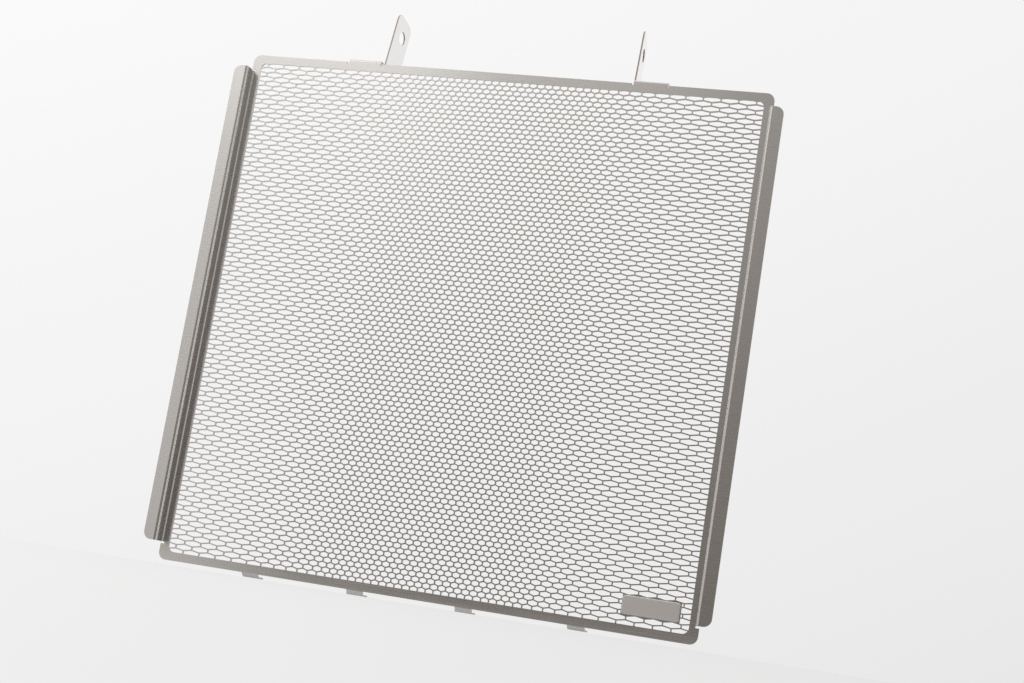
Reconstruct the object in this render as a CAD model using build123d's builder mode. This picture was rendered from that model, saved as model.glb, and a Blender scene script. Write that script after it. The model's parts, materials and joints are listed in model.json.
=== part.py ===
"""Motorcycle radiator guard: a stainless sheet, laser-cut to a graded honeycomb and folded, with a badge plate.

The origin is the middle of the bolt axis through the two top ears. Seen from in front of the motorcycle, X runs to
the right and Z up. Y runs back towards the radiator.
"""

import os
from math import ceil, cos, radians, sin, tan

from build123d import *

# Sheet and folds
sheet_t = 1.0
side_fold_r = 0.8  # inside radius of the folds of the side flanges
tab_fold_r = 1.2  # inside radius where shelves and tabs leave the panel
ear_fold_r = 1.0  # inside radius between a shelf and its ear
relief = 1.2  # width of the slits that let a fold end beside an unfolded edge

# Panel, and the bolt axis as seen from it
panel_w = 350.0
panel_h = 340.0
panel_corner_r = 5.0
bolt_rise = 26.7  # bolt axis above the panel's top edge
bolt_setback = 23.3  # bolt axis behind the panel's front face

# Window and its honeycomb. Pitches, struts and peaks are about four times as coarse as the laser cuts them, all by
# the same factor, so the open share and the weight are those of the fine pattern.
side_strip = 6.0
end_strip = 5.5
window_corner_r = 4.0
row_pitch = 12.86
middle_pitch = 21.07  # width of a cell in the middle band
side_pitch = 46.24  # width of a cell in the bands along the sides
strut = 3.1
peak = 3.85  # height of a cell's sloped ends
first_row = 7.2  # middle of the top row below the window's top edge
middle_band = 58.5  # distance from the middle where the cells start to widen
side_band = 125.5  # distance from the middle where they are at their widest

# Side flanges, stepped forward so that they lie on the radiator's side tanks
flange_step = 10.0  # flange front face before panel front face
flange_reach = 8.1  # flange edge beyond panel edge
flange_inset = 11.2  # flange end to the panel's top or bottom edge
flange_corner_r = 5.0

# Top shelves and ears
shelf_inner_x = 85.2
shelf_outer_x = 107.2
shelf_depth = 18.0  # back edge behind the panel's front face
bolt_hole_d = 9.0
ear_x = 83.0  # ear at the bolt axis, from the middle of the guard
ear_toe = 5.0  # degrees that the ears turn in towards the back
ear_lean = 11.4  # degrees that the ears lean back
ear_front = 12.0  # bolt axis to the ear's front edge
ear_back = 10.0  # bolt axis to the ear's back edge
ear_top = 13.4  # bolt axis to the ear's top edge
ear_heel = 18.0  # bolt axis to where the back edge starts to run in to the shelf
ear_corner_r = 5.5

# Tabs under the bottom edge
tab_w = 10.8
tab_depth = 12.0  # back edge behind the panel's front face
tab_pitch = 70.8
tab_shift = -4.6  # middle of the row of tabs from the middle of the guard
tab_corner = 2.0  # clipped off the back corners
inner_tab_droop = 4.0  # degrees that the two inner tabs hang down
tab_count = 4

# Badge plate
badge_w = 35.0
badge_h = 11.4
badge_t = 1.2
badge_corner_r = 1.5
badge_bevel = 0.6
badge_inset = 30.0  # middle of the badge from the panel's right edge
badge_rise = 17.3  # middle of the badge above the panel's bottom edge
pad_margin = 1.0  # uncut sheet round the badge

# Places that follow from the sizes above
front_y = -bolt_setback
panel_y = front_y + sheet_t / 2  # middle of the panel's thickness
web_x = (panel_w - sheet_t) / 2  # middle of the flange's step
top_z = -bolt_rise
bottom_z = top_z - panel_h
middle_z = top_z - panel_h / 2
window_w = panel_w - 2 * side_strip
window_h = panel_h - 2 * end_strip
panel_plane = Plane((0, front_y, middle_z), x_dir=(1, 0, 0), z_dir=(0, -1, 0))
pad_w = badge_w + 2 * pad_margin
pad_h = badge_h + 2 * pad_margin
badge_x = panel_w / 2 - badge_inset
badge_z = badge_rise - panel_h / 2  # from the middle of the panel


def half_width(x):
    """Half the width of a cell at distance x from the middle."""
    share = min(max((x - middle_band) / (side_band - middle_band), 0), 1)
    return (middle_pitch + (side_pitch - middle_pitch) * share) / 2


def strut_lines():
    """Where the upright struts stand across the panel; each row uses every second line."""
    lines = [0.0]
    while lines[-1] < window_w / 2:
        lines.append(lines[-1] + half_width(lines[-1]))
    lines.append(lines[-1] + half_width(lines[-1]))
    return [-x for x in reversed(lines[1:])] + lines


def cell(left, middle, right, z):
    """One opening: the six-sided cell between the middles of its struts, drawn in by half a strut."""
    shoulder = (row_pitch - peak) / 2
    outline = Polygon(
        (left, z - shoulder), (middle, z - shoulder - peak), (right, z - shoulder),
        (right, z + shoulder), (middle, z + shoulder + peak), (left, z + shoulder),
        align=None, mode=Mode.PRIVATE,
    )
    return offset(outline, amount=-strut / 2, kind=Kind.INTERSECTION, mode=Mode.PRIVATE).face()


def honeycomb():
    """All openings of the window: whole cells as they are, and those at its edge or at the badge cut off."""
    lines = strut_lines()
    whole, crossing = [], []
    for row in range(ceil(window_h / row_pitch) + 1):
        z = window_h / 2 - first_row - row * row_pitch
        for i in range(1 + row % 2, len(lines) - 1, 2):
            opening = cell(lines[i - 1], lines[i], lines[i + 1], z)
            inside = max(-lines[i - 1], lines[i + 1]) < window_w / 2 and abs(z) + row_pitch < window_h / 2
            beside = lines[i + 1] < badge_x - pad_w / 2 or abs(z - badge_z) > pad_h / 2 + row_pitch
            (whole if inside and beside else crossing).append(opening)
    with BuildSketch() as cut_off:
        add(crossing)
        RectangleRounded(window_w, window_h, window_corner_r, mode=Mode.INTERSECT)
        with Locations((badge_x, badge_z)):
            Rectangle(pad_w, pad_h, mode=Mode.SUBTRACT)
    return whole + [opening for opening in cut_off.sketch.faces() if opening.area > 2 * strut**2]


# The flat panel: its outline is cut back where something is folded out of it
tab_xs = [tab_shift + (i - (tab_count - 1) / 2) * tab_pitch for i in range(tab_count)]
flange_length = panel_h - 2 * flange_inset
flange_root = side_fold_r + sheet_t + relief / 2
shelf_w = shelf_outer_x - shelf_inner_x
shelf_x = (shelf_inner_x + shelf_outer_x) / 2

with BuildSketch() as blank:
    RectangleRounded(panel_w, panel_h, panel_corner_r)
    with Locations((-panel_w / 2, 0), (panel_w / 2, 0)):
        Rectangle(2 * flange_root, flange_length + 2 * relief, mode=Mode.SUBTRACT)
    with Locations((-shelf_x, panel_h / 2), (shelf_x, panel_h / 2)):
        Rectangle(shelf_w + 2 * relief, 2 * relief, mode=Mode.SUBTRACT)
    with Locations([(x, -panel_h / 2) for x in tab_xs]):
        Rectangle(tab_w + 2 * relief, 2 * relief, mode=Mode.SUBTRACT)

perforated = Face(blank.face().outer_wire(), [opening.outer_wire() for opening in honeycomb()])

# The right-hand flange, shelf and ear
toe = radians(ear_toe)
lean = radians(ear_lean)
shelf_z = top_z + tab_fold_r + sheet_t / 2  # middle of the shelf's thickness
shelf_back_y = front_y + shelf_depth
ear_plane = Plane((ear_x, 0, 0), x_dir=(-sin(toe), cos(toe), 0), z_dir=(cos(toe), sin(toe), 0))
fold_reach = ear_fold_r + sheet_t / 2 + relief / 2  # from the middle of the ear to where the shelf is flat
foot_z = shelf_z + fold_reach


def on_ear(across, along):
    """A point of the ear's outline, measured from the bolt axis across and along the leaning ear."""
    return (across * cos(lean) + along * sin(lean), along * cos(lean) - across * sin(lean))


foot_front = -ear_front / cos(lean) + foot_z * tan(lean)
foot_back = (shelf_back_y - fold_reach * sin(toe)) / cos(toe)
fold_plane = Plane(ear_plane.origin, x_dir=ear_plane.z_dir, z_dir=-ear_plane.x_dir).offset(-foot_front)
flat_front = (ear_plane * Pos(foot_front, 0, fold_reach)).position
flat_back = (ear_plane * Pos(foot_back, 0, fold_reach)).position

with BuildPart() as right_side:
    with BuildSketch(Plane.XY.offset(bottom_z + flange_inset)):
        with BuildLine():
            FilletPolyline(
                (panel_w / 2 - flange_root, panel_y), (web_x, panel_y),
                (web_x, panel_y - flange_step), (panel_w / 2 + flange_reach, panel_y - flange_step),
                radius=side_fold_r + sheet_t / 2,
            )
        trace(line_width=sheet_t)
    extrude(amount=flange_length)
    fillet(edges().filter_by(Axis.Y).group_by(Axis.X)[-1], flange_corner_r)

    with BuildSketch(Plane.YZ.offset(shelf_inner_x)):
        with BuildLine():
            FilletPolyline(
                (panel_y, top_z - relief), (panel_y, shelf_z), (flat_front.Y, shelf_z),
                radius=tab_fold_r + sheet_t / 2,
            )
        trace(line_width=sheet_t)
    extrude(amount=shelf_w)
    with BuildSketch(Plane.XY.offset(shelf_z)):
        Polygon(
            (shelf_outer_x, flat_front.Y), (shelf_outer_x, shelf_back_y),
            (flat_back.X, flat_back.Y), (flat_front.X, flat_front.Y),
            align=None,
        )
    extrude(amount=sheet_t / 2, both=True)
    with BuildSketch(fold_plane):
        with BuildLine():
            FilletPolyline((fold_reach, shelf_z), (0, shelf_z), (0, foot_z), radius=ear_fold_r + sheet_t / 2)
        trace(line_width=sheet_t)
    extrude(amount=foot_front - foot_back)
    with BuildSketch(ear_plane):
        with BuildLine():
            FilletPolyline(
                (foot_front, foot_z), on_ear(-ear_front, ear_top), on_ear(ear_back, ear_top),
                on_ear(ear_back, -ear_heel), (foot_back, foot_z),
                radius=ear_corner_r,
            )
            Line((foot_back, foot_z), (foot_front, foot_z))
        make_face()
    extrude(amount=sheet_t / 2, both=True)
    with BuildSketch(Plane.YZ):
        Circle(bolt_hole_d / 2)
    extrude(amount=shelf_outer_x, mode=Mode.SUBTRACT)

with BuildPart() as tabs:
    for i, x in enumerate(tab_xs):
        droop = inner_tab_droop if 0 < i < tab_count - 1 else 0
        tab_z = bottom_z - tab_fold_r - sheet_t / 2
        with BuildSketch(Plane.YZ.offset(x - tab_w / 2)):
            with BuildLine():
                FilletPolyline(
                    (panel_y, bottom_z + relief), (panel_y, tab_z),
                    (front_y + tab_depth, tab_z - (tab_depth - sheet_t / 2) * tan(radians(droop))),
                    radius=tab_fold_r + sheet_t / 2,
                )
            trace(line_width=sheet_t)
        extrude(amount=tab_w)
        ends = edges(Select.LAST).filter_by(lambda edge: abs(edge.length - sheet_t) < sheet_t / 100)
        chamfer(ends.group_by(Axis.Y)[-1], tab_corner)

with BuildPart() as guard_sheet:
    extrude(panel_plane * perforated, amount=sheet_t, dir=(0, 1, 0), clean=False)
    add([right_side.part, mirror(right_side.part, Plane.YZ, mode=Mode.PRIVATE), tabs.part])
guard_sheet.part.label = "guard_sheet"

with BuildPart() as badge_plate:
    with BuildSketch(panel_plane):
        with Locations((badge_x, badge_z)):
            RectangleRounded(badge_w, badge_h, badge_corner_r)
    extrude(amount=badge_t)
    chamfer(faces().sort_by(Axis.Y)[0].edges(), badge_bevel)
badge_plate.part.label = "badge_plate"

os.makedirs("parts", exist_ok=True)
export_step(guard_sheet.part, "parts/guard_sheet.step")
export_step(badge_plate.part, "parts/badge_plate.step")
print(f"guard_sheet {guard_sheet.part.volume:.0f} mm3, {len(guard_sheet.part.solids())} solid")
print(f"badge_plate {badge_plate.part.volume:.0f} mm3, {len(badge_plate.part.solids())} solid")
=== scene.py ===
# %% [markdown]
# # A motorcycle radiator guard, cut and folded as the workshop does it
# The guard is one sheet of brushed stainless steel. A laser cuts the outline and thousands of honeycomb
# cells, and a press brake then folds the side flanges, the shelves with their ears, and the bottom tabs.
# The guard could be modelled as it stands. This lesson works in the workshop's order instead: it draws
# the flat blank, cuts it, folds it and only then gives it its thickness. Holes are easiest to draw flat,
# and the brushed grain then runs on through the folds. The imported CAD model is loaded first. It fixes
# the place and the size of everything that follows.

# %% Load the CAD frame
import json
import math

import bpy
from mathutils import Matrix, Vector
from mathutils.geometry import delaunay_2d_cdt


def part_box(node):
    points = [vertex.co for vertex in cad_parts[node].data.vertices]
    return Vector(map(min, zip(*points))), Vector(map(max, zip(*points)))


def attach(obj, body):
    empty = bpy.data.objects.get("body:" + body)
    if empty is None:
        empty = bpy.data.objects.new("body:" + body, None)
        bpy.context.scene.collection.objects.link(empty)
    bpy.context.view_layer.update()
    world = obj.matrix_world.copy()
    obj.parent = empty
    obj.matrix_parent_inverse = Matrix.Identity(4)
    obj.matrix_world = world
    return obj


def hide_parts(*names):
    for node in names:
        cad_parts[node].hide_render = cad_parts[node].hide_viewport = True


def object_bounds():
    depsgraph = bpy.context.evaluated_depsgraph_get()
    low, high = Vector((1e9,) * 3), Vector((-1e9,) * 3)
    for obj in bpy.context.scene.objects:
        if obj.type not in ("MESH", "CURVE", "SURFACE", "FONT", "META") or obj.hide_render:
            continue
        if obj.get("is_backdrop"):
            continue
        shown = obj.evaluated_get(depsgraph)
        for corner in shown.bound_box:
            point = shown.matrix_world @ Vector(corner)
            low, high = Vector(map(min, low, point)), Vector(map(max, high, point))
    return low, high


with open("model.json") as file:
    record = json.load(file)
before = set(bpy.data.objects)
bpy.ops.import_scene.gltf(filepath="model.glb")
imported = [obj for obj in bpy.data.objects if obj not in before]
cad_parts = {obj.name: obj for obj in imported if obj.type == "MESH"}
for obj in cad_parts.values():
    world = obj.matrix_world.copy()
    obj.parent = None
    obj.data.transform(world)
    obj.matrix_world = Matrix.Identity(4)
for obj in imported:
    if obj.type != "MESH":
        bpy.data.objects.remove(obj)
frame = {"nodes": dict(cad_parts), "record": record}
cad_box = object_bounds()
mounts = {mount["name"]: mount for mount in frame["record"]["mounts"]}
print("nodes:", sorted(frame["nodes"]))

# %% [markdown]
# ## Sizes
# The script works in millimetres, as a sheet-metal drawing would, and turns to Blender's metres where an
# object or a material is made. The overall sizes could be typed in, but here they come from the CAD
# model, from its box and the places of its bolt axis and flange faces, so that the sheet cannot drift
# away from it. The rest are the drawing's own values. All heights are taken from the middle of the panel.

# %% Sizes of the folded sheet
MM = 0.001
low, high = (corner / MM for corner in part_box("guard_sheet"))
flange_back = Vector(mounts["right_flange_back"]["pos_m"]) / MM

sheet_t = flange_back.y - low.y
flange_reach = 8.1  # flange edge beyond the panel's edge
flange_step = 10.0  # flange front before the panel's front
panel_w = 2 * (high.x - flange_reach)
panel_h = 340.0
front_y = low.y + flange_step
panel_y = front_y + sheet_t / 2
middle_z = flange_back.z
bolt_height = -middle_z
print(f"panel {panel_w:.1f} x {panel_h:.1f} mm, sheet {sheet_t:.2f} mm, front face at Y {front_y:.1f} mm")


# %% [markdown]
# ## Small helpers for outlines
# The laser follows an outline of straight lines and arcs. Blender's curves could draw it, but here an
# outline is a plain list of points in the flat sheet, which a few lines of Python can measure, mirror and
# fold. Chosen points get rounded corners, so each corner is written once, as a point and a radius. Other
# helpers go round an outline's sides, measure its area and cut a cell off along a straight line.

# %% Helpers for outlines
def rounded(points, steps=6):
    """The outline with its corners rounded: a point is (x, z) or (x, z, radius)."""
    outline = []
    for i, (x, z, *radius) in enumerate(points):
        corner = Vector((x, z))
        if not radius:
            outline.append(corner)
            continue
        before = (Vector(points[i - 1][:2]) - corner).normalized()
        after = (Vector(points[(i + 1) % len(points)][:2]) - corner).normalized()
        half = before.angle(after) / 2
        centre = corner + (before + after).normalized() * radius[0] / math.sin(half)
        start = corner + before * radius[0] / math.tan(half) - centre
        end = corner + after * radius[0] / math.tan(half) - centre
        for step in range(steps + 1):
            outline.append(centre + radius[0] * start.slerp(end, step / steps))
    return outline


def sides(polygon):
    """The sides of a polygon, each as its two ends."""
    return zip(polygon, polygon[1:] + polygon[:1])


def outward(a, b):
    """The direction straight out from a side of a polygon whose points run anticlockwise."""
    return Vector((b.y - a.y, a.x - b.x)).normalized()


def cut_off(polygon, normal, reach):
    """The part of a convex polygon on the near side of a line: the points p with p . normal < reach."""
    kept = []
    for a, b in sides(polygon):
        da, db = a.dot(normal) - reach, b.dot(normal) - reach
        if da <= 0:
            kept.append(a)
        if da * db < 0:
            kept.append(a.lerp(b, da / (da - db)))
    return kept


def area(polygon):
    """The area of a polygon whose points run anticlockwise."""
    return sum(a.cross(b) for a, b in sides(polygon)) / 2


sample = rounded([(0, 0, 1), (4, 0, 1), (4, 4, 1), (0, 4, 1)])
print(f"a 4 mm square with 1 mm corners has {len(sample)} points and {area(sample):.2f} mm2")

# %% [markdown]
# ## The graded honeycomb
# Each row has upright struts on every second line of a ladder of lines, and the next row uses the lines
# between. In the middle of the panel the lines stand evenly. Then each gap is a fixed ratio wider than
# the last, and along the sides they stand evenly again, so the cells widen from almost regular hexagons
# to long slots. An Array modifier could repeat one cell, but these change from column to column. So each
# cell is worked out from the lines beside it: it is the hexagon between the middles of its struts, drawn
# in by half a strut. Cells at the window's edge are cut straight, and four rows stop beside the pad that
# carries the badge plate.

# %% Honeycomb sizes
side_strip, end_strip, window_corner_r = 6.0, 5.5, 4.0
row_pitch, first_row = 3.1135, 1.2  # first_row: middle of the top row below the window's edge
middle_half, side_half, growth = 2.545, 5.585, 1.0463  # gaps between lines, and their ratio
even_steps, graded_steps = 23, 17
strut, peak = 0.75, 0.93  # peak: height of a cell's sloped ends

window_x, window_z = panel_w / 2 - side_strip, panel_h / 2 - end_strip
lines = [0.0]
while lines[-1] < window_x + side_half:
    step = len(lines) - even_steps
    lines.append(lines[-1] + (side_half if step > graded_steps else middle_half * growth ** max(step, 0)))
last = len(lines) - 1
print(f"{last} lines each side; the graded band runs from {lines[even_steps]:.1f} mm "
      f"to {lines[even_steps + graded_steps]:.1f} mm from the middle")


# %% One cell
def line_at(k):
    """Where line k stands; the lines left of the middle have negative numbers."""
    return math.copysign(lines[abs(k)], k)


def cell(k, z):
    """The opening whose middle is on line k, in the row at height z."""
    left, middle, right = line_at(k - 1), line_at(k), line_at(k + 1)
    shoulder = (row_pitch - peak) / 2
    corners = [(left, -shoulder), (middle, -shoulder - peak), (right, -shoulder),
               (right, shoulder), (middle, shoulder + peak), (left, shoulder)]
    hexagon = [Vector((x, z + up)) for x, up in corners]
    drawn_in = hexagon
    for a, b in sides(hexagon):
        drawn_in = cut_off(drawn_in, outward(a, b), a.dot(outward(a, b)) - strut / 2)
    return drawn_in


print(f"the middle cell opens {area(cell(0, 0)):.1f} mm2, one at the side {area(cell(last - 2, 0)):.1f} mm2")

# %% Edge of the window
window = rounded([(-window_x, -window_z, window_corner_r), (window_x, -window_z, window_corner_r),
                  (window_x, window_z, window_corner_r), (-window_x, window_z, window_corner_r)])
window_edges = [(outward(a, b), a.dot(outward(a, b))) for a, b in sides(window)]
print(f"window of {2 * window_x:.1f} x {2 * window_z:.1f} mm, edged by {len(window_edges)} straight lines")

# %% Cut every cell
pad_left, pad_right, pad_rows = 127.2, 163.0, 4
edge_rows = 3  # rows near enough to the window's top or bottom to be cut by it
badge_low, badge_high = (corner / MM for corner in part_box("badge_plate"))
badge_z = (badge_low.z + badge_high.z) / 2 - middle_z
cells = []
for row in range(math.ceil(2 * window_z / row_pitch) + 1):
    z = window_z - first_row - row * row_pitch
    beside_badge = abs(z - badge_z) < pad_rows / 2 * row_pitch
    for k in range(-last + 1, last):
        if (k + row) % 2:
            continue
        opening = cell(k, z)
        far_strut = max(abs(line_at(k - 1)), abs(line_at(k + 1)))
        if far_strut > window_x - window_corner_r or abs(z) > window_z - edge_rows * row_pitch:
            for normal, reach in window_edges:
                opening = cut_off(opening, normal, reach)
        pieces = [opening]
        if beside_badge:
            pieces = [cut_off(opening, Vector((1, 0)), pad_left),
                      cut_off(opening, Vector((-1, 0)), -pad_right)]
        cells += [piece for piece in pieces if len(piece) > 2 and area(piece) > strut ** 2]
open_share = sum(area(piece) for piece in cells) / (4 * window_x * window_z)
print(f"{len(cells)} cells, {open_share:.0%} of the window is open")

# %% [markdown]
# ## The flat blank
# A fold takes up a little length: along the middle of the sheet a right angle of radius r uses a quarter
# circle. Blender's Simple Deform could bend a flap, but only once, and these flaps are folded twice. So a
# flap's path is a list of straight runs and bends, and its flat length is their sum. The ears are folded
# first with the shelf and then up from it, along a line that is turned a few degrees so that they toe in.
# The shelves rise a little before they turn back. The four bottom tabs turn back in two steps, down a
# short slope and then level, the inner two lower than the outer two.

# %% Follow a folded path
side_fold_r, tight_fold_r, ear_fold_r = (inside + sheet_t / 2 for inside in (0.8, 0.3, 1.0))
RIGHT_ANGLE = math.pi / 2


def run_length(path):
    """The flat length of a path: a run is (kind, length, 0), a bend is (kind, radius, turn)."""
    return sum(length if kind == "run" else abs(length) * turn for kind, length, turn in path)


def follow(path, s):
    """Where a point s along a path lands; the path starts along the first axis and bends to the second."""
    place, heading = Vector((0, 0)), 0.0
    for i, (kind, length, turn) in enumerate(path):
        span = length if kind == "run" else abs(length) * turn
        here = s if i == len(path) - 1 else min(s, span)
        if kind == "run":
            place += here * Vector((math.cos(heading), math.sin(heading)))
        else:
            side = math.copysign(1, length)
            centre = place + abs(length) * side * Vector((-math.sin(heading), math.cos(heading)))
            heading += side * here / abs(length)
            place = centre + abs(length) * side * Vector((math.sin(heading), -math.cos(heading)))
        s -= here
        if s <= 0:
            break
    return place


quarter = [("bend", side_fold_r, RIGHT_ANGLE)]
print(f"a right angle of radius {side_fold_r:.1f} mm takes {run_length(quarter):.2f} mm of sheet")

# %% Paths of the flaps
flange_start = panel_w / 2 - sheet_t / 2 - side_fold_r
flange_path = [
    ("bend", side_fold_r, RIGHT_ANGLE),
    ("run", flange_step - 2 * side_fold_r, 0),
    ("bend", -side_fold_r, RIGHT_ANGLE),
    ("run", high.x - (panel_w / 2 - sheet_t / 2) - side_fold_r, 0),
]
tab_depth, shelf_depth, shelf_rise = 12.0, 18.0, 1.7
outer_drop, inner_drop = 2.5, middle_z - panel_h / 2 - low.z  # the inner tabs are the lowest of all
outer_slope, inner_slope = math.radians(30), math.radians(60)


def stepped_tab(drop, slope):
    """A tab's path: folded back in two steps, down a short slope, to end a given drop below the panel."""
    slope_run = (drop - sheet_t / 2 - tight_fold_r) / math.sin(slope)
    level_run = tab_depth - sheet_t / 2 - tight_fold_r - slope_run * math.cos(slope)
    return [("bend", tight_fold_r, RIGHT_ANGLE - slope), ("run", slope_run, 0),
            ("bend", tight_fold_r, slope), ("run", level_run, 0)]


outer_tab = stepped_tab(outer_drop, outer_slope)
inner_tab = stepped_tab(inner_drop, inner_slope)
tab_paths = [outer_tab, inner_tab, inner_tab, outer_tab]
shelf_path = [("run", shelf_rise - tight_fold_r, 0), ("bend", tight_fold_r, RIGHT_ANGLE),
              ("run", shelf_depth - sheet_t / 2 - tight_fold_r, 0)]
print(f"flange {run_length(flange_path):.2f} mm flat, tab {run_length(outer_tab):.2f} mm flat")

# %% [markdown]
# ### The ears
# Each ear stands on its shelf and leans back, with a bolt hole that is in line with the other ear's. Its
# outline is simple when it is measured from the bolt axis, so it is drawn there and then laid flat: up
# the ear becomes inward in the blank, across the fold between ear and shelf.

# %% The ear's place on its shelf
ear_x, ear_toe, ear_lean = 83.0, math.radians(5), math.radians(11.4)
ear_front, ear_back, ear_top, ear_heel, ear_corner_r = 12.0, 10.0, 13.4, 18.0, 5.5
panel_top = panel_h / 2
bolt_y = -front_y  # bolt axis behind the panel's front face
shelf_height = panel_top + shelf_rise - bolt_height  # middle of the shelf's thickness, from the bolt axis
back_way = Vector((-math.sin(ear_toe), math.cos(ear_toe)))
out_way = Vector((math.cos(ear_toe), math.sin(ear_toe)))
foot_height = shelf_height + ear_fold_r
ear_bend = foot_height - ear_fold_r * RIGHT_ANGLE  # where the fold starts, as a height on the unrolled ear
foot_front = -ear_front / math.cos(ear_lean) + foot_height * math.tan(ear_lean)
foot_back = (shelf_depth - bolt_y - ear_fold_r * math.sin(ear_toe)) / math.cos(ear_toe)
ear_path = [("bend", ear_fold_r, RIGHT_ANGLE), ("run", ear_top - foot_height, 0)]
print(f"bolt axis {bolt_height - panel_top:.1f} mm above the panel, {bolt_y:.1f} mm behind its front")


# %% Lay the ear flat
def shelf_to_blank(x, depth):
    """A point of the shelf, at some depth behind the panel's front face, in the flat blank."""
    return x, panel_top + run_length(shelf_path[:2]) + depth - sheet_t / 2 - tight_fold_r


def ear_to_blank(back, height):
    """A point of the ear, measured from the bolt axis, in the flat blank."""
    inward = ear_fold_r * RIGHT_ANGLE + height - foot_height
    spot = Vector((ear_x, bolt_y)) + back * back_way + (ear_fold_r - inward) * out_way
    return shelf_to_blank(*spot)


def leaning(across, along):
    """A point of the ear's outline, measured from the bolt axis across and along the leaning ear."""
    return ear_to_blank(across * math.cos(ear_lean) + along * math.sin(ear_lean),
                        along * math.cos(ear_lean) - across * math.sin(ear_lean))


bolt_spot = Vector(ear_to_blank(0, 0))
print("the right bolt hole is cut at", [round(v, 1) for v in bolt_spot], "in the blank")

# %% [markdown]
# ### The outline
# The outline runs once round the blank: along the bottom with its tabs, up the right side, over the right
# ear, and back along the left side. It could be drawn whole, but the left side is the mirror image of the
# right one, so only the bottom, where the tabs sit off the middle, is drawn from end to end. Narrow slits
# beside each flap let it fold without tearing its neighbour. The bolt holes are rings of points, like the
# cells.

# %% Outline of the right side
corner_r = 5.0  # corners of the panel and of the flanges
flange_inset = 11.2  # flange end to the panel's top or bottom edge
relief = 1.2  # width of the slits that let a fold end
flange_end = flange_start + run_length(flange_path)
flange_z = panel_h / 2 - flange_inset
slit_x = flange_start - relief / 2
right_edge = [
    (panel_w / 2, -panel_h / 2, corner_r), (panel_w / 2, -flange_z - relief),
    (slit_x, -flange_z - relief), (slit_x, -flange_z),
    (flange_end, -flange_z, corner_r), (flange_end, flange_z, corner_r),
    (slit_x, flange_z), (slit_x, flange_z + relief),
    (panel_w / 2, flange_z + relief), (panel_w / 2, panel_h / 2, corner_r),
]
print(f"the flange is {2 * flange_z:.1f} mm long and ends {flange_end:.1f} mm from the middle of the blank")

# %% Outline of the right shelf and ear
shelf_inner, shelf_outer, shelf_corner_r = 85.2, 107.2, 2.0
fold_front, fold_back = ear_to_blank(foot_front, ear_bend), ear_to_blank(foot_back, ear_bend)
shelf_end = shelf_to_blank(0, shelf_depth)[1]
right_ear = [
    (shelf_outer + relief, panel_top), (shelf_outer + relief, panel_top - relief),
    (shelf_outer, panel_top - relief), (shelf_outer, shelf_end, shelf_corner_r),
    fold_back, ear_to_blank(foot_back, foot_height),
    (*leaning(ear_back, -ear_heel), ear_corner_r), (*leaning(ear_back, ear_top), ear_corner_r),
    (*leaning(-ear_front, ear_top), ear_corner_r), ear_to_blank(foot_front, foot_height), fold_front,
    (fold_front[0], fold_front[1] - relief), (shelf_inner, fold_front[1] - relief),
    (shelf_inner, panel_top - relief), (shelf_inner - relief, panel_top - relief),
    (shelf_inner - relief, panel_top),
]
print(f"the shelf takes {shelf_outer - shelf_inner:.1f} x {shelf_end - panel_top:.1f} mm of the blank")

# %% Outline of the bottom edge
tab_w, tab_pitch, tab_shift, tab_clip, tab_slit = 10.8, 70.8, -4.6, 2.0, 0.3
tab_xs = [tab_shift + (i - (len(tab_paths) - 1) / 2) * tab_pitch for i in range(len(tab_paths))]
bottom_edge = []
for i, x in enumerate(tab_xs):
    end = -panel_h / 2 - run_length(tab_paths[i])
    left, right, root = x - tab_w / 2, x + tab_w / 2, -panel_h / 2 + tab_slit
    bottom_edge += [
        (left - tab_slit, -panel_h / 2), (left - tab_slit, root), (left, root), (left, end + tab_clip),
        (left + tab_clip, end), (right - tab_clip, end), (right, end + tab_clip), (right, root),
        (right + tab_slit, root), (right + tab_slit, -panel_h / 2),
    ]
print("tabs at X", [round(x, 1) for x in tab_xs], "mm")


# %% The whole blank
def mirrored(points):
    """The same points on the left half, in the order that keeps the outline running one way round."""
    return [(-x, *rest) for x, *rest in reversed(points)]


blank = rounded(bottom_edge + right_edge + right_ear + mirrored(right_ear) + mirrored(right_edge))
flat_w, flat_h = (max(places) - min(places) for places in zip(*blank))
print(f"blank of {len(blank)} points, {flat_w:.1f} x {flat_h:.1f} mm flat")

# %% Bolt holes
bolt_hole_r = mounts["ear_bolt_axis"]["dims"]["r_mm"]
hole_steps = 40
bolt_holes = [
    [Vector((side * bolt_spot.x, bolt_spot.y)) + bolt_hole_r * Vector((math.cos(a), math.sin(a)))
     for a in (i * math.tau / hole_steps for i in range(hole_steps))]
    for side in (-1, 1)
]
print(f"{len(bolt_holes)} bolt holes of {2 * bolt_hole_r:.1f} mm")

# %% [markdown]
# ## Cutting the sheet
# A Boolean modifier could punch the holes out of a plate. With thousands of them it is simpler to fill
# the whole drawing at once, by a constrained Delaunay triangulation: every line of the drawing becomes an
# edge of the mesh. Extra lines go across the bends, so that there are edges to bend at. The triangles
# inside a hole are easy to tell: all their corners belong to the same hole. They are dropped, as the
# laser's offcuts are.

# %% Draw the outlines
points, edges, owner = [], [], []


def draw(loop, name, closed=True):
    """Add a line to the drawing; a hole's points keep its number as their name."""
    first = len(points)
    points.extend(Vector(p[:2]) for p in loop)
    owner.extend([name] * len(loop))
    count = len(loop)
    edges.extend((first + i, first + (i + 1) % count) for i in range(count if closed else count - 1))


draw(blank, None)
for i, hole in enumerate(cells + bolt_holes):
    draw(hole, i)
print(f"{len(points)} points drawn")

# %% Draw lines across the bends
BEND_STEPS, FLAT_MARGIN = 6, 0.25


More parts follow.
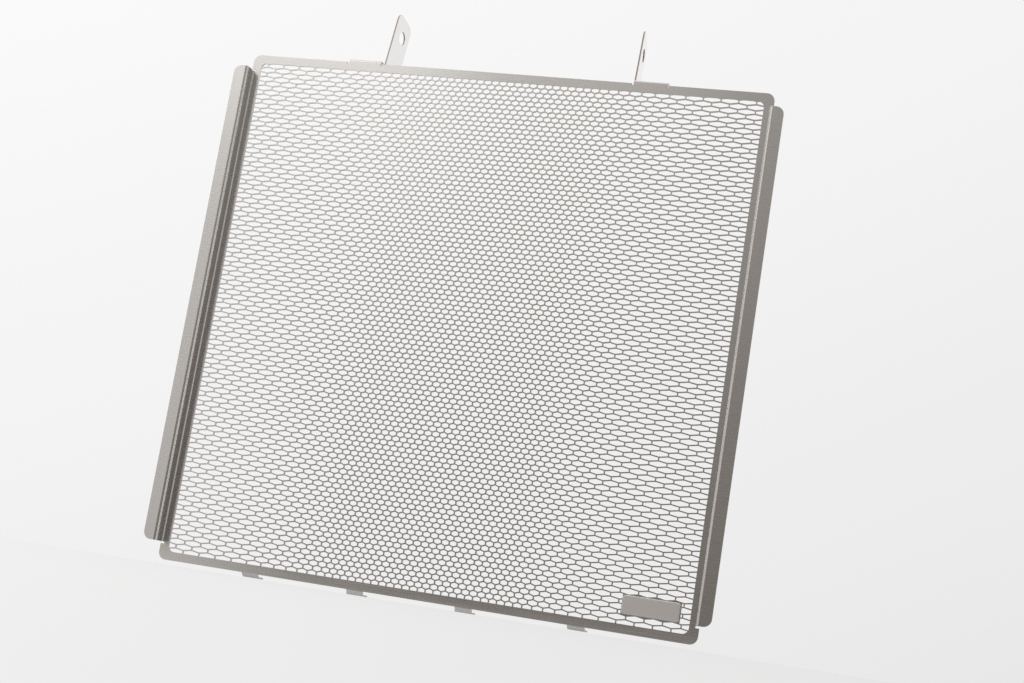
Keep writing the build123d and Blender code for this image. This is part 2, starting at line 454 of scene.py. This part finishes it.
def bend_lines(length):
    """Where along a bend the extra lines lie; the outer two keep the shading of the flats flat."""
    return [-FLAT_MARGIN, *(length * i / BEND_STEPS for i in range(BEND_STEPS + 1)), length + FLAT_MARGIN]


for place in (0, 2):
    start = flange_start + run_length(flange_path[:place])
    for s in bend_lines(side_fold_r * RIGHT_ANGLE):
        for side in (-1, 1):
            draw([(side * (start + s), -flange_z), (side * (start + s), flange_z)], None, closed=False)
shelf_bend = panel_top + shelf_rise - tight_fold_r
for s in bend_lines(tight_fold_r * RIGHT_ANGLE):
    for side in (-1, 1):
        draw([(side * x, shelf_bend + s) for x in (shelf_inner, shelf_outer)], None, closed=False)
for s in bend_lines(ear_fold_r * RIGHT_ANGLE):
    ends = [ear_to_blank(back, ear_bend + s) for back in (foot_front, foot_back)]
    for side in (-1, 1):
        draw([(side * x, z) for x, z in ends], None, closed=False)
for i, x in enumerate(tab_xs):
    for place in (0, 2):
        start = panel_h / 2 + run_length(tab_paths[i][:place])
        for s in bend_lines(run_length([tab_paths[i][place]])):
            draw([(x + across, -start - s) for across in (-tab_w / 2, tab_w / 2)], None, closed=False)
print(f"{len(points)} points with the bends")

# %% Fill the drawing
INSIDE_ONLY = 1
SAME_POINT = 1e-4
flat_points, _, triangles, sources, _, _ = delaunay_2d_cdt(points, edges, [], INSIDE_ONLY, SAME_POINT)
holes = [owner[source[0]] if source else None for source in sources]
sheet = [t for t in triangles if holes[t[0]] is None or len({holes[v] for v in t}) > 1]
print(f"{len(flat_points)} points, {len(sheet)} triangles of sheet, {len(triangles) - len(sheet)} of offcut")


# %% [markdown]
# ## Folding
# A press brake bends the real sheet, and the middle of the sheet keeps its length. A lattice could bend
# the mesh too, but it would stretch it. Here each point is looked up on its flap, and the flap's path
# says where it lands. The left half is folded as the mirror image of the right one. The flat place is
# kept as the UV map, so that the brushed grain runs through the folds, as it does on a sheet that was
# brushed before it was cut.

# %% Where a point of the blank lands
def fold(x, z):
    """The place in the CAD frame, in millimetres, of a point of the flat sheet."""
    side, x = math.copysign(1, x), abs(x)
    forward, up, out = 0.0, z, x
    tab = next((i for i, tx in enumerate(tab_xs) if abs(side * x - tx) < (tab_w + tab_slit) / 2), None)
    if x > flange_start and abs(z) < flange_z + relief / 2:
        out, forward = follow(flange_path, x - flange_start)
        out += flange_start
    elif z < -panel_h / 2 and tab is not None:
        down, back = follow(tab_paths[tab], -panel_h / 2 - z)
        up, forward = -panel_h / 2 - down, -back
    elif z > panel_top:
        rise, back = follow(shelf_path, z - panel_top)
        up, forward = panel_top + rise, -back
        spot = Vector((x - ear_x, back + sheet_t / 2 - bolt_y))
        inward, along = ear_fold_r - spot.dot(out_way), spot.dot(back_way)
        if inward > 0 and along > foot_front - relief / 4:
            level, height = follow(ear_path, inward)
            out, depth = Vector((ear_x, bolt_y)) + along * back_way + (ear_fold_r - level) * out_way
            up, forward = bolt_height + shelf_height + height, sheet_t / 2 - depth
    return Vector((side * out, panel_y - forward, middle_z + up))


print("the right bolt hole lands at", [round(v, 2) for v in fold(*bolt_spot)])

# %% Fold the blank
mesh = bpy.data.meshes.new("guard_sheet_folded")
mesh.from_pydata([fold(*p) * MM for p in flat_points], [], sheet)
grain_map = mesh.uv_layers.new(name="flat_sheet")
for loop in mesh.loops:
    grain_map.data[loop.index].uv = flat_points[loop.vertex_index] * MM
guard = bpy.data.objects.new("folded_sheet", mesh)
bpy.context.collection.objects.link(guard)
print("folded:", [round(v / MM, 1) for v in guard.dimensions])

# %% [markdown]
# ## Thickness
# The folded mesh is the middle of the sheet. It could be extruded by hand, but a Solidify modifier also
# keeps the thickness even round the bends: it moves one skin half the thickness to each side and closes
# the rim. Three finishes meet here: the brushed faces, the walls that the laser cut in the cells, and the
# outer edge, which is deburred and given a painted shade a little darker than the cell walls. Their empty
# slots come first, because Solidify gives the rim a slot only where there is one. The rim faces outside
# the window then move on to the outer edge's slot. Smooth shading up to 30 degrees rounds the bends and
# leaves the cut edges crisp.

# %% Give the sheet its thickness
FACE, CELL_WALL, OUTER_EDGE = range(3)
for _ in (FACE, CELL_WALL, OUTER_EDGE):
    mesh.materials.append(None)
thick = guard.modifiers.new("sheet_thickness", "SOLIDIFY")
thick.thickness = sheet_t * MM
thick.offset = 0
thick.use_even_offset = True
thick.use_quality_normals = True
thick.material_offset_rim = CELL_WALL
bpy.context.view_layer.update()
solid = bpy.data.meshes.new_from_object(guard.evaluated_get(bpy.context.evaluated_depsgraph_get()))
guard.modifiers.clear()
guard.data = solid
triangle_count = sum(len(face.vertices) - 2 for face in solid.polygons)
print(f"{guard.name}: {triangle_count} triangles")

# %% Tell the outer edge from the cell walls
flat_uv = solid.uv_layers["flat_sheet"].data
for face in solid.polygons:
    x, z = flat_uv[face.loop_start].uv / MM
    if face.material_index == CELL_WALL and (abs(x) > window_x + strut or abs(z) > window_z + strut):
        face.material_index = OUTER_EDGE
bpy.context.view_layer.objects.active = guard
guard.select_set(True)
bpy.ops.object.shade_smooth_by_angle(angle=math.radians(30))
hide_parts("guard_sheet")
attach(guard, "root")
surfaces = [face.material_index for face in solid.polygons]
print("faces, cell walls and outer edges:", [surfaces.count(s) for s in (FACE, CELL_WALL, OUTER_EDGE)])


# %% [markdown]
# ## Materials
# Each metal here has one colour that a fine pattern varies a little, so four helpers serve them all. One
# turns the hex colours of the lesson into the linear values that Blender wants, and one adds a node, sets
# it up and links it. One starts a material, and the last lets a pattern vary a metal's tone and roughness.

# %% Helpers for materials
def linear(hex_colour):
    """An sRGB hex colour as linear red, green, blue and alpha."""
    values = [int(hex_colour[i:i + 2], 16) / 255 for i in (1, 3, 5)]
    return [v / 12.92 if v <= 0.04045 else ((v + 0.055) / 1.055) ** 2.4 for v in values] + [1.0]


def add_node(tree, kind, inputs=None, **settings):
    """A new node with its settings; an input is a value, or the output socket that it is linked to."""
    new = tree.nodes.new(kind)
    for name, value in settings.items():
        setattr(new, name, value)
    for name, value in (inputs or {}).items():
        if isinstance(value, bpy.types.NodeSocket):
            tree.links.new(value, new.inputs[name])
        else:
            new.inputs[name].default_value = value
    return new


def new_material(name):
    """An empty material with its shader node and its node tree."""
    material = bpy.data.materials.new(name)
    material.use_nodes = True
    return material, material.node_tree, material.node_tree.nodes["Principled BSDF"]


def vary_metal(tree, shader, pattern, tones, roughness):
    """Make the shader a metal whose tone and roughness each follow a noise pattern between two values."""
    tone = add_node(tree, "ShaderNodeMix", {
        "Factor": pattern, "A": linear(tones[0]), "B": linear(tones[1])}, data_type="RGBA")
    rough = add_node(tree, "ShaderNodeMapRange", {
        "Value": pattern, "From Min": 0.3, "From Max": 0.7, "To Min": roughness[0], "To Max": roughness[1]})
    tree.links.new(tone.outputs["Result"], shader.inputs["Base Color"])
    tree.links.new(rough.outputs["Result"], shader.inputs["Roughness"])
    shader.inputs["Metallic"].default_value = 1.0


print("the mid grey #808080 is", round(linear("#808080")[0], 3), "in linear light")

# %% [markdown]
# ### Hairline-brushed stainless steel
# Stainless sheet is brushed with an abrasive belt that leaves long parallel scratches. To the eye that
# gives a soft, slightly warm grey that mirrors broad light and dark areas of the room, smeared across the
# scratches. A picture of scratches could be laid on the sheet. Noise that is stretched along the flat
# sheet needs no picture and never repeats, and anisotropic reflection does the smearing. Real scratches
# are some hundredths of a millimetre wide, far finer than a pixel, so here they are drawn 0.4 mm wide.

# %% Brushed steel
steel, tree, shader = new_material("hairline_brushed_stainless")
scratch_w, scratch_length = 0.4 * MM, 60 * MM
flat_place = add_node(tree, "ShaderNodeUVMap", uv_map="flat_sheet")
stretched = add_node(tree, "ShaderNodeMapping", {
    "Vector": flat_place.outputs["UV"], "Scale": (1 / scratch_length, 1 / scratch_w, 1)})
scratches = add_node(tree, "ShaderNodeTexNoise", {
    "Vector": stretched.outputs["Vector"], "Scale": 1.0, "Detail": 2.0})
vary_metal(tree, shader, scratches.outputs["Fac"], ("#D5D4D2", "#DBDAD9"), (0.24, 0.29))
bump = add_node(tree, "ShaderNodeBump", {
    "Height": scratches.outputs["Fac"], "Strength": 0.04, "Distance": 0.05 * MM})
along_grain = add_node(tree, "ShaderNodeTangent", direction_type="UV_MAP", uv_map="flat_sheet")
tree.links.new(bump.outputs["Normal"], shader.inputs["Normal"])
tree.links.new(along_grain.outputs["Tangent"], shader.inputs["Tangent"])
shader.inputs["Anisotropic"].default_value = 0.7
shader.inputs["Anisotropic Rotation"].default_value = 0.25
print("brushed faces:", steel.name)

# %% [markdown]
# ### Laser-cut cell walls
# A laser melts its way through the sheet and a jet of gas blows the melt out, which leaves a fine ripple
# on the walls of the cells. To the eye they are dull, a little darker and warmer than the brushed faces,
# with no grain. The walls face every way, so their pattern is a noise in space, which needs no UV map.
# The real ripple is about a tenth of a millimetre, so here it is drawn at 0.4 mm to show.

# %% Laser-cut edge
cut_edge, tree, shader = new_material("laser_cut_edge")
ripple = 0.4 * MM
place = add_node(tree, "ShaderNodeTexCoord")
melt_lines = add_node(tree, "ShaderNodeTexNoise", {
    "Vector": place.outputs["Object"], "Scale": 1 / ripple, "Detail": 2.0})
vary_metal(tree, shader, melt_lines.outputs["Fac"], ("#A09C96", "#ACA8A2"), (0.31, 0.39))
print("cell walls:", cut_edge.name)

# %% [markdown]
# ### Deburred outer edge
# Hands meet the outer edge of the sheet, so it is filed smooth after cutting. To the eye it is a dull
# warm grey line, a little rougher than the cell walls, that sets the bright faces off against the pale
# background. Its grey is painted shade: it is a little darker than the cell walls and stands in for the
# dark front of the room, which the edge mirrors as a thin dark line. Real file marks are some tenths of a
# millimetre wide and would be lost in the picture, so they are drawn at 1.5 mm. With this finish the
# sheet has all three, and each one goes to its slot.

# %% Deburred outer edge, painted a little darker
outer_edge, tree, shader = new_material("deburred_edge_painted_dark")
file_mark = 1.5 * MM
place = add_node(tree, "ShaderNodeTexCoord")
file_marks = add_node(tree, "ShaderNodeTexNoise", {
    "Vector": place.outputs["Object"], "Scale": 1 / file_mark, "Detail": 2.0})
# Painted shade: the edge's grey is a little darker than the cell walls' and stands in for the dark room that
# it mirrors.
vary_metal(tree, shader, file_marks.outputs["Fac"], ("#9C9790", "#A8A39C"), (0.36, 0.44))
print("outer edge:", outer_edge.name)

# %% Give the sheet its three finishes
for surface, finish in ((FACE, steel), (CELL_WALL, cut_edge), (OUTER_EDGE, outer_edge)):
    guard.data.materials[surface] = finish
print("sheet finishes:", [finish.name for finish in guard.data.materials])

# %% [markdown]
# ### Satin aluminium
# The badge is a thin plate of aluminium, blasted with fine beads. The tiny craters scatter the light, so
# to the eye it is a soft, even silver, paler than the steel and without any grain. Its bevelled outline
# is already right in the CAD model, so the plate stays and only gets its finish. Real bead marks are
# about a tenth of a millimetre, and here they are drawn at 0.6 mm to show.

# %% Satin aluminium of the badge plate
satin, tree, shader = new_material("satin_aluminium")
bead_mark = 0.6 * MM
place = add_node(tree, "ShaderNodeTexCoord")
blasting = add_node(tree, "ShaderNodeTexNoise", {
    "Vector": place.outputs["Object"], "Scale": 1 / bead_mark, "Detail": 3.0})
vary_metal(tree, shader, blasting.outputs["Fac"], ("#E0DEDB", "#EAE8E6"), (0.5, 0.6))
bump = add_node(tree, "ShaderNodeBump", {
    "Height": blasting.outputs["Fac"], "Strength": 0.1, "Distance": 0.03 * MM})
tree.links.new(bump.outputs["Normal"], shader.inputs["Normal"])
badge = frame["nodes"]["badge_plate"]
badge.data.materials.clear()
badge.data.materials.append(satin)
print("badge finish:", satin.name)

# %% [markdown]
# ## The floor
# The guard stands on a sweep of white paper. The camera stands as low as the guard's foot, so it would
# see a level floor edge-on. The paper therefore falls away in front of the guard, as over the edge of a
# table. A few narrow strips ease the fall, and smooth shading hides them.

# %% Sweep of paper
floor_reach, crest_gap = 8000.0, 2.0  # crest_gap: level paper in front of the guard
crest_y = low.y - crest_gap
fall, ease, ease_steps = math.radians(20), 60.0, 8
profile = [(floor_reach, low.z), (crest_y, low.z)]
for step in range(1, ease_steps + 1):
    turn = fall * step / ease_steps
    y, z = profile[-1]
    profile.append((y - ease / ease_steps * math.cos(turn), z - ease / ease_steps * math.sin(turn)))
y, z = profile[-1]
profile.append((y - floor_reach * math.cos(fall), z - floor_reach * math.sin(fall)))
floor_points = [Vector((x, y, z)) * MM for y, z in profile for x in (-floor_reach, floor_reach)]
floor_faces = [(2 * i, 2 * i + 1, 2 * i + 3, 2 * i + 2) for i in range(len(profile) - 1)]
floor_mesh = bpy.data.meshes.new("white_sweep")
floor_mesh.from_pydata(floor_points, [], floor_faces)
for face in floor_mesh.polygons:
    face.use_smooth = True
floor = bpy.data.objects.new("white_sweep", floor_mesh)
bpy.context.collection.objects.link(floor)
floor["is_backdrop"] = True
print(f"floor at Z {low.z:.1f} mm, falling by {math.degrees(fall):.0f} degrees in front of the guard")

# %% [markdown]
# ### White paper
# Matt paper scatters light evenly, so its own shader is little more than a grey and a high roughness. A
# photographer lights the backdrop apart from the object, until it is almost white. Here the paper glows
# instead, a little more on the left, so the background is pale without more light on the metal. The
# camera sees most of that glow, and the steel mirrors half of it. Near the guard an eighth of the paper's
# own shading stays, which keeps the soft shadow. Far off the paper takes the shade of the backdrop behind
# it, so that they meet without an edge.

# %% Shade of the backdrop
UPPER_LEFT = (-0.49, 0.0, 0.87)


def backdrop_shade(tree, direction):
    """The pale shade of the backdrop in a direction: a little brighter towards the upper left."""
    rise = add_node(tree, "ShaderNodeVectorMath", {0: direction, 1: UPPER_LEFT}, operation="DOT_PRODUCT")
    lighter = add_node(tree, "ShaderNodeMapRange", {
        "Value": rise.outputs["Value"], "From Min": -0.06, "From Max": 0.52})
    shade = add_node(tree, "ShaderNodeMix", {
        "Factor": lighter.outputs["Result"], "A": linear("#E6E6E6"), "B": linear("#FAFAFA")},
        data_type="RGBA")
    return shade.outputs["Result"]


print("the backdrop brightens towards", UPPER_LEFT)

# %% Shade of the paper
near_by, far_away = 0.8, 3.0  # metres from the bolt axis
paper, tree, shader = new_material("white_paper_sweep")
shader.inputs["Base Color"].default_value = linear("#B8B8B8")
shader.inputs["Roughness"].default_value = 0.9
place = add_node(tree, "ShaderNodeTexCoord")
across = add_node(tree, "ShaderNodeSeparateXYZ", {"Vector": place.outputs["Object"]})
to_right = add_node(tree, "ShaderNodeMapRange", {
    "Value": across.outputs["X"], "From Min": -0.5, "From Max": 0.5})
near_shade = add_node(tree, "ShaderNodeMix", {
    "Factor": to_right.outputs["Result"], "A": linear("#FCFCFC"), "B": linear("#E9E9E9")}, data_type="RGBA")
distance = add_node(tree, "ShaderNodeVectorMath", {0: place.outputs["Object"]}, operation="LENGTH")
heading = add_node(tree, "ShaderNodeVectorMath", {0: place.outputs["Object"]}, operation="NORMALIZE")
far_off = add_node(tree, "ShaderNodeMapRange", {
    "Value": distance.outputs["Value"], "From Min": near_by, "From Max": far_away})
shade = add_node(tree, "ShaderNodeMix", {
    "Factor": far_off.outputs["Result"], "A": near_shade.outputs["Result"],
    "B": backdrop_shade(tree, heading.outputs["Vector"])}, data_type="RGBA")
print(f"the paper has its own shade up to {near_by} m away, and the backdrop's from {far_away} m on")

# %% Glow of the paper
shadow_end = 1.3  # metres from the bolt axis
# The glow is painted a little dimmer, by 3 percent, over the level paper at the crest, where the paper's own
# shading comes out brighter.
level = add_node(tree, "ShaderNodeMapRange", {
    "Value": across.outputs["Y"], "From Min": (crest_y - ease) * MM, "From Max": crest_y * MM,
    "To Min": 1.0, "To Max": 0.97})
glow = add_node(tree, "ShaderNodeEmission", {
    "Color": shade.outputs["Result"], "Strength": level.outputs["Result"]})
glow_share = add_node(tree, "ShaderNodeMapRange", {
    "Value": distance.outputs["Value"], "From Min": near_by, "From Max": shadow_end,
    "To Min": 0.88, "To Max": 1.0})
ray = add_node(tree, "ShaderNodeLightPath")
looking = add_node(tree, "ShaderNodeMath", {
    0: ray.outputs["Is Glossy Ray"], 1: 0.5, 2: ray.outputs["Is Camera Ray"]}, operation="MULTIPLY_ADD")
share = add_node(tree, "ShaderNodeMath", {
    0: looking.outputs["Value"], 1: glow_share.outputs["Result"]}, operation="MULTIPLY")
mixed = add_node(tree, "ShaderNodeMixShader", {
    0: share.outputs["Value"], 1: shader.outputs["BSDF"], 2: glow.outputs["Emission"]})
tree.links.new(mixed.outputs["Shader"], tree.nodes["Material Output"].inputs["Surface"])
floor_mesh.materials.append(paper)
print("floor finish:", paper.name)

# %% [markdown]
# ## The room
# Bare metal shows little but its surroundings, so the room is part of the finish. A panorama of a studio
# could surround the guard, but two blends of colour need no picture and are easy to tune. In front of the
# guard the room is dark and warm low down and bright high up, which gives the steel its grey. Behind it
# the room is as pale as the backdrop, which lights the ears. The camera sees only the backdrop, which is
# a little brighter towards the upper left. Light Path tells the camera's rays from the others.

# %% Room
world = bpy.data.worlds.new("studio")
bpy.context.scene.world = world
world.use_nodes = True
tree = world.node_tree
direction = add_node(tree, "ShaderNodeTexCoord")
toward = add_node(tree, "ShaderNodeSeparateXYZ", {"Vector": direction.outputs["Generated"]})
height = add_node(tree, "ShaderNodeMapRange", {"Value": toward.outputs["Z"]})
front = add_node(tree, "ShaderNodeMix", {
    "Factor": height.outputs["Result"], "A": linear("#574D42"), "B": linear("#FFFCF8")}, data_type="RGBA")
behind = add_node(tree, "ShaderNodeMapRange", {
    "Value": toward.outputs["Y"], "From Min": -0.1, "From Max": 0.2}, interpolation_type="SMOOTHSTEP")
around = add_node(tree, "ShaderNodeMix", {
    "Factor": behind.outputs["Result"], "A": front.outputs["Result"], "B": linear("#F9F9F9")},
    data_type="RGBA")
room = tree.nodes["Background"]
tree.links.new(around.outputs["Result"], room.inputs["Color"])
paper_white = backdrop_shade(tree, direction.outputs["Generated"])
backdrop = add_node(tree, "ShaderNodeBackground", {"Color": paper_white, "Strength": 1.0})
ray = add_node(tree, "ShaderNodeLightPath")
seen = add_node(tree, "ShaderNodeMixShader", {
    0: ray.outputs["Is Camera Ray"], 1: room.outputs["Background"], 2: backdrop.outputs["Background"]})
tree.links.new(seen.outputs["Shader"], tree.nodes["World Output"].inputs["Surface"])
print("world:", world.name, "with", len(tree.nodes), "nodes")


# %% [markdown]
# ## Soft light panels
# A small lamp would put a hard sparkle on every strut, so metal is lit with large soft panels, each
# placed for what it does in the mirror of the sheet. One stands far out on the left, where the left half
# of the sheet mirrors it. Two hang at the upper left and make the bright patch that fades across the
# honeycomb. The others fill in weakly from the left, the top, the right and the back. A panel's power
# follows from its area, so that radiance 1 looks like white paper.

# %% Soft panels
def soft_panel(name, place, aim, width, height, radiance):
    """A soft light panel; radiance 1 looks as bright as white paper. Sizes and places in millimetres."""
    lamp = bpy.data.lights.new(name, "AREA")
    lamp.shape = "RECTANGLE"
    lamp.size, lamp.size_y = width * MM, height * MM
    lamp.energy = radiance * math.pi * lamp.size * lamp.size_y
    panel = bpy.data.objects.new(name, lamp)
    bpy.context.collection.objects.link(panel)
    panel.location = Vector(place) * MM
    panel.rotation_euler = (Vector(aim) - Vector(place)).to_track_quat("-Z", "Y").to_euler()
    panel.visible_camera = False
    print(f"{name}: {width} x {height} mm, {lamp.energy:.2f} W")


soft_panel("left_front_panel", (-1420, -2200, middle_z - 100), (0, -2200, middle_z - 100), 1600, 1600, 0.52)
soft_panel("left_side_panel", (-1420, -500, middle_z - 100), (0, -500, middle_z - 100), 1800, 1600, 0.45)
soft_panel("upper_left_panel", (-850, -1300, middle_z + 950), (0, 0, middle_z), 700, 700, 1.35)
soft_panel("upper_middle_panel", (-401, -1497, middle_z + 950), (0, 0, middle_z), 510, 700, 0.4)
soft_panel("top_panel", (0, 300, middle_z + 1500), (0, 300, middle_z), 3000, 2000, 0.25)
soft_panel("right_panel", (1500, -300, middle_z), (0, -300, middle_z), 1600, 1300, 0.6)
soft_panel("back_panel", (0, 1500, middle_z + 400), (0, 0, middle_z + 400), 4000, 2600, 0.25)

# %% [markdown]
# ## The camera
# The guard is seen from low down on its right, through a short telephoto lens that keeps its sides nearly
# parallel. In the picture it leans. The guard could be tilted for that, but it stays upright in the CAD
# frame, and the camera is rolled by about nine degrees instead. The camera's place and its aim are given
# from the panel's front face and its middle height.

# %% Camera
eye = Vector((326.12, front_y - 1033.04, middle_z - 178.33)) * MM
aim = Vector((34.0, front_y, middle_z - 3.3)) * MM
roll = math.radians(9.34)
camera_data = bpy.data.cameras.new("photo_camera")
camera_data.sensor_width, camera_data.lens = 36.0, 61.4
camera_data.clip_end = 20.0
camera = bpy.data.objects.new("photo_camera", camera_data)
bpy.context.collection.objects.link(camera)
turn = (aim - eye).to_track_quat("-Z", "Y").to_matrix() @ Matrix.Rotation(roll, 3, "Z")
camera.matrix_world = Matrix.Translation(eye) @ turn.to_4x4()
bpy.context.scene.camera = camera
bpy.context.scene.view_settings.view_transform = "Standard"
print(f"camera {(aim - eye).length:.2f} m from its aim, lens {camera_data.lens:.1f} mm")

# %% [markdown]
# ## Finish
# The box of the CAD model and the box of what is shown are written down side by side, because the folded
# sheet must not be larger than the model that it stands for.

# %% Finish
shown_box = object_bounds()
for name, (low_corner, high_corner) in (("CAD", cad_box), ("shown", shown_box)):
    print(name, "box in mm:", [round(v / MM, 2) for v in (*low_corner, *high_corner)])
